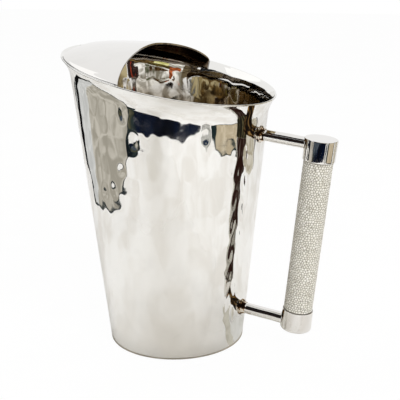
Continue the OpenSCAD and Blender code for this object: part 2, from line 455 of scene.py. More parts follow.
# The strength of the marks at the sides, and the stretches that are worked harder, as direction,
# reach in degrees and gain
PLAIN_STRENGTH = 0.75
WORKED_HARDER = ((-98, 26, 0.85), (-150, 30, 0.5), (-5, 30, 1.0), (98, 26, 0.6), (170, 30, 0.4))


def mark_strength(turn):
    """The wall is worked harder towards the spout and round the stems than at the sides"""
    strength = PLAIN_STRENGTH + 0 * turn
    for middle, width, gain in WORKED_HARDER:
        apart = (turn - middle + 180) % 360 - 180
        strength = strength + gain * np.exp(-(apart / width) ** 2)
    return strength


# Marks that stand out where the wall was planished by hand, as pressed() takes them
DEEP_MARKS = [
    (-93.1, 190.0, 3.4, 6.8, 0.40, 0.05, 0.42, 0.0),
    (-86.8, 172.5, 3.8, 7.6, 0.40, 0.0, 0.0, -0.30),
    (-97.0, 150.5, 3.6, 5.8, 0.44, 0.0, 0.0, -0.42),
    (-104.3, 134.6, 3.6, 7.8, 0.42, 0.1, 0.0, -0.30),
    (-112.6, 131.5, 4.0, 8.0, 0.42, -0.2, 0.0, -0.30),
    (-46.0, 174.4, 3.2, 6.4, 0.2, 0.0, 0.0, 0.0),
    (-27.3, 152.0, 3.2, 10.0, 0.2, 0.0, 0.0, 0.0),
    (-13.0, 150.0, 2.6, 8.0, 0.2, -0.2, 0.0, 0.0)]

# A zigzag of them down the wall beside the stems
DEEP_MARKS += [(-19.5 + 3.4 * (-1) ** n, 30.0 + 10.5 * n, 2.7, 9.0, 0.26, 0.14 * (-1) ** n, 0.0, 0.0)
               for n in range(13)]


def easing(value, low, high):
    """0 below low, 1 above high, and a smooth ramp from one to the other"""
    t = np.clip((value - low) / (high - low), 0, 1)
    return t * t * (3 - 2 * t)


# Counts of the wall's mesh, and the share of the lip's height at which its rounded rim starts
WALL_COLUMNS = 330
FOOT_ROWS = 4
OUTER_ROWS = 132
INNER_ROWS = 112
LIP_ROWS = 18
EDGE_ROWS = 8
EDGE_SHARE = 0.965

# The marks of each face: seed, pitch and half size as (across, up), depth, softness of the crests
# between them, and the heights over which they start above the foot
OUTER_SEED = 5
OUTER_PITCH = (8.6, 14.5)
OUTER_SIZE = (5.0, 8.4)
OUTER_DEPTH = 0.062
OUTER_CREST = 0.007
OUTER_START = (1.5, 9)
INNER_SEED = 9
INNER_PITCH = (16.0, 18.0)
INNER_SIZE = (9.0, 10.4)
INNER_DEPTH = 0.26
INNER_CREST = 0.016
INNER_START = (2, 10)

# Depth at a bowl's rim as a share of the whole, and how much of it is gone at the rim of the lip
BOWL_RIM = 0.6
LIP_FADE = 0.8

# Depths below the rim between which the inside's painted shade comes in
INSIDE_SHADE_DEPTHS = (16, 64)


def outer_marks(turn, z):
    """Depth of the outer face's marks"""
    marks = scattered_marks(OUTER_SEED, OUTER_PITCH, OUTER_SIZE, OUTER_DEPTH)
    turn = turn + 0 * z
    depth = pressed(turn, z, marks, OUTER_DEPTH * BOWL_RIM, OUTER_CREST) * mark_strength(turn)
    return (depth + pressed(turn, z, DEEP_MARKS, 0.0, OUTER_CREST)) * easing(z, *OUTER_START)


def inner_marks(turn, z):
    """Depth of the inner face's marks"""
    marks = scattered_marks(INNER_SEED, INNER_PITCH, INNER_SIZE, INNER_DEPTH)
    depth = pressed(turn + 0 * z, z, marks, INNER_DEPTH * BOWL_RIM, INNER_CREST)
    return depth * easing(z, *INNER_START)


def hammered_wall():
    """The tapered sheet with its flared lip, hammered on both faces"""
    turn = all_round(WALL_COLUMNS)
    root = lip_point(turn, 0.0)[..., 1]
    root_inner = lip_point(turn, 0.0, WALL_T)[..., 1]

    # The foot's rounded edge
    round_turn = np.radians(np.linspace(0, 90, FOOT_ROWS + 1)[:-1])[None, :]
    foot = np.stack(np.broadcast_arrays(
        wall_radius(FOOT_ROUND) - FOOT_ROUND * (1 - np.sin(round_turn)) + 0 * turn,
        FOOT_ROUND * (1 - np.cos(round_turn)) + 0 * turn), -1)

    # The plain wall outside, with its marks pressed in
    share = np.linspace(0, 1, OUTER_ROWS + 1)[:-1][None, :]
    z = FOOT_ROUND + (root - FOOT_ROUND) * share
    depth = outer_marks(turn, z)
    outer = np.stack([wall_radius(z) - depth, z + depth * WALL_SLOPE], -1)

    # The lip outside
    share = np.linspace(0, EDGE_SHARE, LIP_ROWS)[None, :]
    z = rim_height(turn) - LIP_H * (1 - share)
    lip_outer = lip_point(turn, share, outer_marks(turn, z) * (1 - LIP_FADE * share))

    # The rounded rim
    around = np.radians(np.linspace(0, 180, EDGE_ROWS + 2)[1:-1])[None, :]
    share = EDGE_SHARE + (1 - EDGE_SHARE) * np.sin(around)
    rim = lip_point(turn, share, WALL_T * (1 - np.cos(around)) / 2)

    # The lip inside
    share = np.linspace(EDGE_SHARE, 0, LIP_ROWS)[None, :]
    z = rim_height(turn) - LIP_H * (1 - share)
    lip_inner = lip_point(turn, share, WALL_T - inner_marks(turn, z) * (1 - LIP_FADE * share))

    # The plain wall inside
    share = np.linspace(1, 0, INNER_ROWS + 1)[1:][None, :]
    z = root_inner * share
    depth = inner_marks(turn, z)
    radius = wall_radius(z) - WALL_T * math.hypot(1, WALL_SLOPE)
    inner = np.stack([radius + depth, z - depth * WALL_SLOPE], -1)
    section = np.concatenate([foot, outer, lip_outer, rim, lip_inner, inner], 1)
    piece = skin("wall_hammered", at_turn(section, turn))

    # Painted shade inside, darker deeper below the rim, and none on the foot, the outer face and the rim
    inside = easing(rim_height(turn) - section[..., 1], *INSIDE_SHADE_DEPTHS)
    inside[:, :-lip_inner.shape[1] - inner.shape[1]] = 0
    mark_vertices(piece, "inside", inside)
    return piece


# Ice guard

# Counts of the guard's mesh, the rounding of its edges, and how soft the top of its arch is
GUARD_ROWS = 56
GUARD_COLUMNS = 120
GUARD_SKIRT_ROWS = 8
GUARD_EDGE = 0.35
SMOOTH_CREST = 0.15


def soft_power(value, power):
    """value to that power with its sign kept, without the kink at zero"""
    bend = (power - 1) / 2
    return value * (value ** 2 + SMOOTH_CREST ** 2) ** bend / (1 + SMOOTH_CREST ** 2) ** bend


def guard_sheet():
    """Outer face of the guard, a row for each place from its rear edge to the pouring slot"""
    margin_share = 1 - GUARD_DROP / LIP_H
    skirt_share = margin_share - GUARD_SKIRT / LIP_H
    along = np.linspace(0, 1, GUARD_ROWS + 1)[:, None]
    turn = 180 - GUARD_REAR_ANGLE + (GUARD_REAR_ANGLE - SLOT_ANGLE) * along
    up_share = np.linspace(0, 1, GUARD_SKIRT_ROWS + 1)[:-1][None, :]
    share = skirt_share + (margin_share - skirt_share) * up_share
    skirt = at_turn(lip_point(turn + 0 * share, share + 0 * turn, WALL_T + GUARD_GAP), turn)
    foot = at_turn(lip_point(turn, np.full_like(turn, margin_share), WALL_T + GUARD_GAP), turn)
    sweep = np.radians(np.linspace(0, 180, GUARD_COLUMNS + 1))[None, :]
    rise = GUARD_REAR_RISE + (GUARD_FRONT_RISE - GUARD_REAR_RISE) * along
    bow = GUARD_REAR_BOW + (GUARD_FRONT_BOW - GUARD_REAR_BOW) * along
    across = soft_power(np.cos(sweep), 2 / ARCH_WIDTH_POWER)
    up = soft_power(np.sin(sweep), 2 / ARCH_HEIGHT_POWER)
    arch = np.stack([foot[..., 0] - bow * (1 - across ** 2), foot[..., 1] * across,
                     foot[..., 2] + rise * up], -1)
    other_skirt = skirt[:, ::-1] * np.array([1, -1, 1])
    return np.concatenate([skirt, arch, other_skirt], 1)


def grid_normals(grid):
    along = np.gradient(grid, axis=0)
    across = np.gradient(grid, axis=1)
    normal = np.cross(along, across)
    return normal / np.linalg.norm(normal, axis=-1, keepdims=True)


def arched_guard():
    """The polished plate over the spout, with its skirt inside the lip"""
    outer = guard_sheet()
    under = outer - GUARD_T * grid_normals(outer)
    piece = skin("ice_guard_polished", np.concatenate([outer, under[:, ::-1]], 1), ring=False)
    rows, columns = outer.shape[:2]
    close_ends(piece, rows, columns * 2)
    # The underside gets the inside colour, painted shade under the guard
    inside = np.concatenate([np.zeros((rows, columns)), np.ones((rows, columns))], 1)
    mark_vertices(piece, "inside", inside)
    bevel(piece, GUARD_EDGE)
    return piece


def close_ends(piece, rows, columns):
    """Closes both end rows of a folded grid with quads across its thickness"""
    start = tuple(piece.data.polygons[0].vertices)
    outward = start[0] == 0 and start[1] == columns
    last = (rows - 1) * columns
    added = []
    for j in range(columns // 2 - 1):
        k = columns - 1 - j
        first = (j, j + 1, k - 1, k)
        second = (last + j, last + k, last + k - 1, last + j + 1)
        added += [first, second] if outward else [first[::-1], second[::-1]]
    add_faces(piece, added)


# Handle

handle_top_h = float(rim_height(0.0)) - LIP_H - HANDLE_DROP
handle_mid_h = (handle_top_h + HANDLE_FOOT_H) / 2
handle_len = (handle_top_h - HANDLE_FOOT_H) / math.cos(HANDLE_LEAN)
handle_mid_x = wall_radius(handle_mid_h) + HAND_GAP + GRIP_R
stem_offset = handle_len / 2 - STEM_INSET
grip_half_len = handle_len / 2 - CAP_LEN + SOCKET_DEPTH
ALONG_GRIP = np.array([math.sin(HANDLE_LEAN), 0, math.cos(HANDLE_LEAN)])
TO_WALL = np.array([-math.cos(HANDLE_LEAN), 0, math.sin(HANDLE_LEAN)])
ACROSS = np.array([0.0, 1.0, 0.0])
HANDLE_MID = np.array([handle_mid_x, 0, handle_mid_h])

# Counts of the handle's meshes
CAP_COLUMNS = 144
STEM_COLUMNS = 96
STEM_STEPS = 40
COLLAR_COLUMNS = 120

# The turned caps: radius left open on the axis, a ring close round it, the next ring, and the
# mouth's rounding as a share of its thickness
AXIS_R = 0.02
AXIS_RING_R = 0.08
INNER_RING_R = 1.2
MOUTH_ROUND_SHARE = 0.42

# The stems: how much thinner they are than drawn, the seed, depth and waves of their hand-finished
# swell, a wave as (radians for each millimetre, waves round), the shares of the length over which
# it comes in and goes out, and how far it lies below the round
STEM_TRIM = 0.015
STEM_SEED = 31
STEM_SWELL = 0.03
STEM_WAVES = ((0.14, 1), (0.22, 2), (0.3, 1))
SWELL_IN = (0.16, 0.3)
SWELL_OUT = (0.78, 0.88)
SWELL_SINK = 0.01

# The collars: arc of the hollow curve in degrees and its steps, room round the stem, width of the
# thin edge and its rounding, and the rounding at the foot
HOLLOW_ARC = (4, 88)
HOLLOW_STEPS = 18
COLLAR_ROOM = 0.02
COLLAR_TIP = 0.08
COLLAR_TIP_ROUND = 0.1
COLLAR_FOOT_ROUND = 0.12


def on_grip(radius, along, turn):
    """Places round the grip's axis, with turn 0 facing away from the wall, in degrees"""
    angle = np.radians(turn)
    out = -TO_WALL * np.cos(angle)[..., None] + ACROSS * np.sin(angle)[..., None]
    return HANDLE_MID + ALONG_GRIP * along[..., None] + out * radius[..., None]


def off_stem(turn):
    """Directions square to the stems, turn in degrees from the way up the grip"""
    angle = np.radians(turn)[..., None]
    return ALONG_GRIP * np.cos(angle) + ACROSS * np.sin(angle)


def turned(name, profile):
    """A closed profile of (radius, place along the grip) turned round the grip's axis"""
    profile = np.array(profile)
    turn = all_round(CAP_COLUMNS)
    radius, along = np.broadcast_arrays(profile[None, :, 0] + 0 * turn, profile[None, :, 1] + 0 * turn)
    return skin(name, on_grip(radius, along, turn + 0 * radius))


def arc(centre, radius, start, end, steps):
    """Points on a circle's arc, angles in degrees"""
    angles = np.radians(np.linspace(start, end, steps))
    return [(centre[0] + radius * math.cos(a), centre[1] + radius * math.sin(a)) for a in angles]


def grip_cap(name, end_r, edge_round, side):
    """A turned cap with a rounded end, a socket for the grip and a small rounded mouth. side is 1 for
    the upper cap and -1 for the lower."""
    mouth_r = end_r - CAP_TAPER
    bore_r = GRIP_R + SEAT_GAP
    lip = (mouth_r - bore_r) * MOUTH_ROUND_SHARE
    flat = np.linspace(INNER_RING_R, end_r - edge_round, 9)
    rings = [(r, 0.0) for r in (AXIS_R, AXIS_RING_R, *flat)]
    rings += arc((end_r - edge_round, -edge_round), edge_round, 90, 0, 8)[1:]
    rings += [(end_r - CAP_TAPER * s, -edge_round - (CAP_LEN - edge_round) * s) for s in
              np.linspace(0.05, 0.97, 12)]
    rings += arc((mouth_r - lip, -CAP_LEN + lip), lip, 0, -90, 5)
    rings += arc((bore_r + lip, -CAP_LEN + lip), lip, -90, -180, 5)
    rings += [(bore_r, -CAP_LEN + SOCKET_DEPTH), (AXIS_R, -CAP_LEN + SOCKET_DEPTH)]
    profile = [(r, side * (handle_len / 2 + h)) for r, h in rings]
    return turned(name, profile)


def stem_reach(offset):
    """Distance from the grip's axis to the wall along a stem"""
    x = handle_mid_x + offset * math.sin(HANDLE_LEAN)
    z = handle_mid_h + offset * math.cos(HANDLE_LEAN)
    return (x - wall_radius(z)) / (math.cos(HANDLE_LEAN) + WALL_SLOPE * math.sin(HANDLE_LEAN))


def wall_ahead(start, gap):
    """Distance from each start towards the wall to its outer cone, less the gap"""
    grown = BASE_R + gap * math.hypot(1, WALL_SLOPE)
    x, y, z = start[..., 0], start[..., 1], start[..., 2]
    dx, dz = TO_WALL[0], TO_WALL[2]
    r = grown + WALL_SLOPE * z
    a = dx * dx - (WALL_SLOPE * dz) ** 2
    b = 2 * (x * dx - r * WALL_SLOPE * dz)
    c = x * x + y * y - r * r
    return (-b - np.sqrt(b * b - 4 * a * c)) / (2 * a)


def round_stem(name, offset, cap_r):
    """A round rod from its seat in the cap to the wall, its end cut to the wall's curve"""
    turn = all_round(STEM_COLUMNS)
    out = off_stem(turn)
    centre = HANDLE_MID + ALONG_GRIP * offset
    start = centre + TO_WALL * (cap_r - STEM_SEAT) + out * (STEM_R - STEM_TRIM)
    steps = np.linspace(0, 1, STEM_STEPS)[None, :]
    reach = wall_ahead(start, SEAT_GAP) * steps
    draw = np.random.default_rng(STEM_SEED + int(offset > 0))
    phases = draw.uniform(0, 2 * math.pi, len(STEM_WAVES))
    swell = sum(STEM_SWELL * np.sin(reach * rate + count * np.radians(turn) + phase)
                for (rate, count), phase in zip(STEM_WAVES, phases))
    swell = swell * easing(steps, *SWELL_IN) * (1 - easing(steps, *SWELL_OUT)) - SWELL_SINK
    piece = skin(name, start + TO_WALL * reach[..., None] + out * swell[..., None], loop=False)
    close_tube(piece, STEM_COLUMNS, STEM_STEPS)
    return piece


def close_tube(piece, rows, columns):
    """Closes both open ends of a tube whose grid has a ring of rows"""
    start = tuple(n * columns for n in range(rows))
    end = tuple(n * columns + columns - 1 for n in range(rows))
    outward = piece.data.polygons[0].vertices[1] == columns
    add_faces(piece, [start[::-1], end] if outward else [start, end[::-1]])


def flared_collar(name, offset):
    """The collar that spreads with a hollow curve from its stem to the wall"""
    spread = COLLAR_R - STEM_R - SEAT_GAP - COLLAR_EDGE
    rise = COLLAR_LEN - COLLAR_FOOT
    hollow = [(COLLAR_R - spread * math.sin(t), -COLLAR_FOOT - rise * (1 - math.cos(t)))
              for t in np.radians(np.linspace(*HOLLOW_ARC, HOLLOW_STEPS))]
    bore = STEM_R + COLLAR_ROOM
    top = -COLLAR_LEN + COLLAR_ROOM
    edge = [(COLLAR_R - spread - COLLAR_TIP, top), (bore + COLLAR_TIP, top),
            (bore, -COLLAR_LEN + COLLAR_TIP_ROUND)]
    foot = [(COLLAR_R, -COLLAR_FOOT + COLLAR_FOOT_ROUND)]
    profile = np.array(foot + hollow + edge)
    out = off_stem(all_round(COLLAR_COLUMNS))
    root = HANDLE_MID + ALONG_GRIP * offset + TO_WALL * stem_reach(offset)
    places = root + out * profile[None, :, 0, None] + TO_WALL * profile[None, :, 1, None]
    starts = [root + out * radius - TO_WALL for radius in (bore, COLLAR_R)]
    ends = [start + TO_WALL * wall_ahead(start, SEAT_GAP)[..., None] for start in starts]
    return skin(name, np.concatenate([places] + ends, 1))


# Grip

# Columns of the wrap's mesh, and the height of a row
SLEEVE_COLUMNS = 206
SLEEVE_STEP = 0.333

# The grains: seed, pitch, how far a grain strays in shares of it, how much closer their rows lie,
# width of the gap's slope, depth, shape of the dome, height of a low dome and what a full one adds
GRAIN_SEED = 17
GRAIN_PITCH = 1.95
GRAIN_STRAY = 0.36
GRAIN_SQUEEZE = 1.12
GRAIN_GAP = 1.25
GRAIN_DEPTH = 0.28
DOME_POWER = 1.7
LOW_DOME = 0.55
DOME_SPREAD = 0.45

# The line of painted shade where the wrap meets a cap: its strength and its reach
SEAM_STRENGTH = 2
SEAM_REACH = 0.55


def grain_centres(draw, around, length):
    """Centres of the grains on the unrolled wrap, a staggered grid with each point strayed at random"""
    columns = int(around / GRAIN_PITCH)
    rows = int(length / GRAIN_PITCH * GRAIN_SQUEEZE)
    i, j = np.meshgrid(np.arange(columns), np.arange(rows), indexing="ij")
    across = (i + 0.5 * (j % 2) + draw.uniform(-GRAIN_STRAY, GRAIN_STRAY, i.shape)) * around / columns
    up = (j + 0.5 + draw.uniform(-GRAIN_STRAY, GRAIN_STRAY, i.shape)) * length / rows
    return np.stack([across.ravel() % around, up.ravel()], -1)


def shagreen_sleeve():
    """The wrap: a tube whose outer face is covered with small domed grains"""
    draw = np.random.default_rng(GRAIN_SEED)
    around = 2 * math.pi * GRIP_R
    half = grip_half_len - SEAT_GAP
    length = 2 * half
    centres = grain_centres(draw, around, length)
    sizes = draw.uniform(0.0, 1.0, len(centres))
    tree = kdtree.KDTree(3 * len(centres))
    for shift in (-around, 0.0, around):
        for n, (u, v) in enumerate(centres):
            tree.insert((u + shift, v, 0.0), n)
    tree.balance()
    rows = int(length / SLEEVE_STEP)
    turns = all_round(SLEEVE_COLUMNS)
    heights = np.linspace(0, length, rows)
    gap = np.zeros((SLEEVE_COLUMNS, rows))
    grain = np.zeros((SLEEVE_COLUMNS, rows))
    for i, turn in enumerate(turns[:, 0]):
        u = around * turn / 360
        for j, v in enumerate(heights):
            first, second = tree.find_n((u, v, 0.0), 2)
            edge = second[2] - first[2]
            gap[i, j] = 1 - min(edge / GRAIN_GAP, 1.0)
            grain[i, j] = sizes[first[1]]
    dome = 1 - gap ** DOME_POWER
    drop = GRAIN_DEPTH * (1 - dome * (LOW_DOME + DOME_SPREAD * grain))
    turn = turns + 0 * gap
    along = (heights - half)[None, :] + 0 * gap
    outer = on_grip(GRIP_R - drop, along, turn)
    inner_r = np.full((SLEEVE_COLUMNS, 2), GRIP_R - SLEEVE_T)
    inner_along = np.array([half, -half])[None, :] + 0 * inner_r
    inner = on_grip(inner_r, inner_along, turns + 0 * inner_r)
    piece = skin("grip_shagreen", np.concatenate([outer, inner], 1))
    flat = np.zeros((SLEEVE_COLUMNS, 2))
    past_cap = half - (handle_len / 2 - CAP_LEN) - np.abs(half - np.abs(heights - half))
    # Painted shade in a line where the wrap meets each cap
    seam_shade = SEAM_STRENGTH * np.exp(-(past_cap / SEAM_REACH) ** 2)
    mark_vertices(piece, "gap", np.concatenate([np.maximum(gap, seam_shade[None, :]), flat], 1))
    mark_vertices(piece, "grain", np.concatenate([grain, flat], 1))
    return piece


# Pieces and their finishes

# The inside colours are painted shade for the wall's inside and the guard's underside
INSIDE_PAINTED_SHADE = (150, 126, 84)
nickel_hammered = polished_nickel("nickel_hammered", (240, 239, 236), INSIDE_PAINTED_SHADE, (112, 98, 76), 190.0)
nickel_polished = polished_nickel("nickel_polished", (236, 234, 231), (118, 102, 84), (60, 46, 34), 120.0)
nickel_plate = polished_nickel("nickel_base_plate", (190, 172, 136), INSIDE_PAINTED_SHADE, (104, 92, 72), 90.0)
nickel_painted_glints = glint_painted_nickel()

fit_out(hammered_wall(), nickel_hammered, "hammered_metal", "body_wall")
fit_out(arched_guard(), nickel_polished, "polished_metal", "ice_guard")
fit_out(grip_cap("upper_cap_turned", UPPER_CAP_R, UPPER_CAP_ROUND, 1), nickel_polished,
        "polished_metal", "upper_cap")
fit_out(grip_cap("lower_cap_turned", LOWER_CAP_R, LOWER_CAP_ROUND, -1), nickel_polished,
        "polished_metal", "lower_cap")
fit_out(round_stem("upper_stem_round", stem_offset, UPPER_CAP_R), nickel_polished,
        "polished_metal", "upper_stem")
fit_out(round_stem("lower_stem_round", -stem_offset, LOWER_CAP_R), nickel_polished,
        "polished_metal", "lower_stem")
fit_out(flared_collar("upper_collar_flared", stem_offset), nickel_painted_glints,
        "polished_metal", "upper_collar")
fit_out(flared_collar("lower_collar_flared", -stem_offset), nickel_painted_glints,
        "polished_metal", "lower_collar")
fit_out(shagreen_sleeve(), shagreen_leather(), "pebbled_leather", "grip_sleeve")


def dress(node, material):
    """Gives a CAD node that stays its finish"""
    materials = frame["nodes"][node].data.materials
    materials.clear()
    materials.append(material)


dress("base_plate", nickel_plate)
dress("grip_core", dowel_wood())
dress("tie_rod", drawn_steel())


# Floor, world and reflectors. A reflector is seen only in the metal's gloss, as in a studio.

# In metres, half the floor's side, its level and the step from one layer of cards to the next, and
# how much flatter than wide the clouds on an upright card are
FLOOR_HALF = 4.0
FLOOR_LEVEL = -0.0003
LAYER_STEP = 0.0002
ROOM_RISE = 3.5


def hide_from(piece, *rays):
    """Makes the piece unseen by those kinds of rays"""
    for ray in rays:
        setattr(piece, "visible_" + ray, False)


def flat_piece(name, places, faces, material):
    """A piece of flat faces, its places in metres"""
    mesh = bpy.data.meshes.new(name)
    mesh.from_pydata(places, [], faces)
    mesh.materials.append(material)
    return in_scene(name, mesh)


def square(x, y, z, half):
    """Corners of a level square round a place"""
    return [(x + a * half, y + b * half, z) for a, b in ((-1, -1), (1, -1), (1, 1), (-1, 1))]


def floor():
    finish = new_finish("floor_white")
    cloud = finish.noise(finish.place(), 9.0, 3.0, 0.6, 0.5).between(0.38, 0.66)
    paper = finish.tint(cloud, shade(253, 252, 250), shade(239, 236, 231))
    lit = finish.node("ShaderNodeBsdfDiffuse", {}, {"Color": paper})
    camera = finish.light_path("Is Camera Ray")
    material = finish.show(finish.mix(camera * 0.97, lit, finish.glow(WHITE)))
    corners = square(0.0, 0.0, FLOOR_LEVEL, FLOOR_HALF)
    flat_piece("floor", corners, [(0, 1, 2, 3)], material)


def card_finish(name, colour, second, patches, rise=1.0, strength=1.0):
    """A plain colour with clouds of a second one, flatter than wide where rise is above 1"""
    finish = new_finish(name)
    place = finish.stretched(finish.place(), (1.0, 1.0, rise))
    cloud = finish.noise(place, patches, 3.0, 0.55, 0.6).between(0.38, 0.62)
    clouded = finish.tint(cloud, shade(*colour), shade(*(second or colour)))
    return finish.show(finish.glow(clouded, strength))


def only_in_gloss(piece):
    """Hides a piece from every kind of ray but the metal's gloss"""
    hide_from(piece, "camera", "diffuse", "shadow", "transmission", "volume_scatter")


def floor_card(name, outline, layer, colour, second=None, patches=6.0):
    """A flat card on the floor, its outline in metres, layer counting up from the floor"""
    places = [(x, y, LAYER_STEP * layer) for x, y in outline]
    material = card_finish(name, colour, second, patches)
    only_in_gloss(flat_piece(name, places, [tuple(range(len(places)))], material))


def soft_card(name, centre, reach, colour, strength):
    """A round shade on the floor that fades out at its reach"""
    finish = new_finish(name)
    inputs = {0: finish.place(), 1: centre}
    away = finish.node("ShaderNodeVectorMath", {"operation": "DISTANCE"}, inputs, 1)
    fade = (1 - away.between(0.0, reach)) * strength
    material = finish.show(finish.mix(fade, finish.clear(), finish.glow(shade(*colour))))
    only_in_gloss(flat_piece(name, square(*centre, reach), [(0, 1, 2, 3)], material))


def bearing(turn, distance):
    """A floor point in metres in direction turn, in degrees, from the pitcher's axis"""
    angle = math.radians(turn)
    return (distance * math.cos(angle), distance * math.sin(angle))


def bearings(*points):
    """Floor points, each given as (turn, distance)"""
    return [bearing(turn, distance) for turn, distance in points]


def room_card(name, distance, turns, low, high, colour, second=None, patches=3.0, strength=1.0):
    """An upright card at that distance in metres from the pitcher's axis, through directions in
    degrees, from height low to high, which are numbers or a number for each direction"""
    line = [bearing(turn, distance) for turn in turns]
    n = len(line)
    heights = [*np.broadcast_to(low, n), *np.broadcast_to(high, n)]
    places = [(x, y, z) for (x, y), z in zip(line + line, heights)]
    faces = [(i, i + 1, n + i + 1, n + i) for i in range(n - 1)]
    material = card_finish(name, colour, second, patches, ROOM_RISE, strength)
    only_in_gloss(flat_piece(name, places, faces, material))


def world():
    finish = Finish(bpy.data.worlds.new("studio"))
    camera = finish.light_path("Is Camera Ray")
    glossy = finish.light_path("Is Glossy Ray")
    inputs = {"Color": WHITE, "Strength": 0.5 + camera * 0.5 + glossy * 0.45}
    bpy.context.scene.world = finish.show(finish.node("ShaderNodeBackground", {}, inputs))


def softbox(name, place, aim, size, power):
    data = bpy.data.lights.new(name, "AREA")
    data.shape = "SQUARE"
    data.size = size
    data.energy = power
    made = in_scene(name, data)
    made.location = place
    made.rotation_euler = (Vector(aim) - Vector(place)).to_track_quat("-Z", "Y").to_euler()
    hide_from(made, "glossy")


floor()
world()
softbox("key_softbox", (1.1, -0.9, 1.3), (0.0, 0.0, 0.1), 0.9, 15.0)
softbox("top_softbox", (-0.2, 0.1, 1.7), (0.0, 0.0, 0.1), 1.2, 9.0)

# The paper's edge in front, and what lies beyond it
floor_card("card_navy", [
    (-0.195, -0.466), (-0.11, -0.484), (0.0, -0.486), (0.1, -0.464), (0.2, -0.424), (0.262, -0.393),
    (0.281, -0.386), (0.3, -0.375), (0.318, -0.359), (0.348, -0.331), (0.371, -0.31), (0.389, -0.296),
    (0.411, -0.282), (0.64, -0.42), (0.66, -0.9), (0.5, -1.6), (-0.9, -1.6)],
    1, (11, 12, 17), (13, 22, 42), 7.0)
floor_card("card_pale", [
    (0.4, -0.262), (0.403, -0.235), (0.398, -0.196), (0.436, -0.178), (0.62, -0.25), (0.6, -0.38),
    (0.43, -0.285)],
    2, (206, 204, 198), (156, 157, 152), 40.0)
floor_card("card_far_slate", [
    (-0.5, -0.585), (0.13, -0.585), (0.2, -0.55), (0.3, -0.62), (0.3, -1.5), (-0.5, -1.5)],
    2, (92, 100, 108), (36, 46, 56), 14.0)
floor_card("card_blot", [
    (0.442, -0.25), (0.468, -0.262), (0.49, -0.246), (0.466, -0.216), (0.447, -0.226)],
    3, (28, 42, 64))
floor_card("card_slate", [
    (0.64, -0.42), (0.78, -0.32), (1.3, -0.6), (1.2, -1.3), (0.66, -0.9)],
    1, (150, 142, 122), (176, 168, 148), 12.0)
floor_card("card_tan_frame", bearings(
    (-21.0, 0.478), (-12, 0.453), (0, 0.451), (14, 0.453), (21, 0.456), (21, 1.4), (-21, 1.4)),
    1, (30, 42, 44), (52, 62, 60), 22.0)
floor_card("card_tan", bearings(
    (-15.0, 0.468), (0, 0.466), (14, 0.468), (17, 0.52), (17, 1.2), (-13, 1.2)),
    2, (228, 215, 190), (192, 177, 150), 11.0)
floor_card("card_tan_far", bearings(
    (27, 0.47), (36, 0.445), (44, 0.435), (49, 0.46), (49, 0.75), (27, 0.75)),
    1, (214, 208, 194), (178, 170, 150), 20.0)
floor_card("card_far_edge", bearings(
    (49.5, 0.45), (51.5, 0.45), (51.5, 0.62), (49.5, 0.62)),
    1, (70, 64, 54))
floor_card("card_grey_frame", [
    (-0.2, -0.28), (-0.231, -0.236), (-0.252, -0.184), (-0.279, -0.137), (-0.309, -0.089),
    (-0.336, -0.018), (-0.345, 0.06), (-1.4, 0.9), (-1.4, -0.9), (-0.62, -1.2), (-0.225, -0.49),
    (-0.2, -0.41), (-0.198, -0.35)],
    1, (38, 46, 50), (70, 74, 72), 18.0)
floor_card("card_grey", [
    (-0.209, -0.292), (-0.24, -0.246), (-0.262, -0.192), (-0.289, -0.145), (-0.32, -0.094),
    (-0.348, -0.022), (-0.356, 0.04), (-1.3, 0.75), (-1.3, -0.85), (-0.6, -1.1), (-0.236, -0.49),
    (-0.21, -0.41), (-0.208, -0.35)],
    2, (205, 200, 189), (166, 161, 149), 10.0)
floor_card("card_grey_light", [
    (-0.343, -0.01), (-0.45, -0.03), (-1.3, -0.1), (-1.3, 0.75), (-0.36, 0.04)],
    3, (222, 223, 222), (200, 201, 200), 12.0)
floor_card("card_post", [
    (-0.218, -0.398), (-0.172, -0.411), (-0.13, -0.424), (-0.138, -0.456), (-0.16, -0.47),
    (-0.165, -0.6), (-0.27, -0.6), (-0.238, -0.49)],
    3, (20, 26, 30), (46, 56, 56), 26.0)
floor_card("card_post_strip", [
    (-0.217, -0.468), (-0.176, -0.48), (-0.182, -0.6), (-0.252, -0.59)],
    4, (94, 92, 74), (60, 62, 50), 24.0)
floor_card("card_back", [
    (-0.397, 0.052), (-0.452, 0.105), (-0.52, 0.19), (-0.622, 0.2), (-0.718, 0.22), (-0.852, 0.26),
    (-1.3, 0.38), (-1.3, 0.6), (-0.93, 0.46), (-0.856, 0.39), (-0.72, 0.36), (-0.62, 0.32),
    (-0.51, 0.28), (-0.452, 0.155), (-0.399, 0.092)],
    4, (14, 14, 15))

# The room past the paper, which the mouth, the stems and the collars show
room_card("room_dark", 1.0, (-93, -102, -110, -118), 0.0, 1.06, (22, 16, 14), (40, 30, 26))
room_card("room_beam", 1.0, (-95, -112, -127, -142, -157, -172, -187, -200, -216),
          (0.66, 0.66, 0.66, 0.66, 0.64, 0.56, 0.3, 0.3, 0.3),
          (1.02, 1.02, 1.0, 0.92, 0.82, 0.74, 0.66, 0.53, 0.45), (16, 18, 21), (48, 54, 58), 2.0)
room_card("room_bright", 1.2, (147, 162, 177, 192, 207, 222), 0.98, 2.1, (255, 255, 255),
          strength=1.16)
room_card("room_cream", 1.2, (-13, -28, -48, -68, -88, -102), 0.0, 1.0, (255, 252, 245),
          (124, 117, 100), 2.6)
room_card("room_door", 1.19, (-5, -17), 0.255, 1.0, (24, 22, 23), (62, 46, 40), 5.0)
room_card("room_door_foot", 1.18, (-8, -17), 0.0, 0.26, (120, 110, 98), (66, 60, 54), 6.0)
room_card("room_strip", 1.15, (-10.5, -12), 0.245, 0.42, (160, 62, 38), (70, 34, 28), 6.0)
room_card("room_fern", 1.15, (-31, -39), 0.27, 0.34, (62, 68, 50), (118, 116, 92), 9.0)
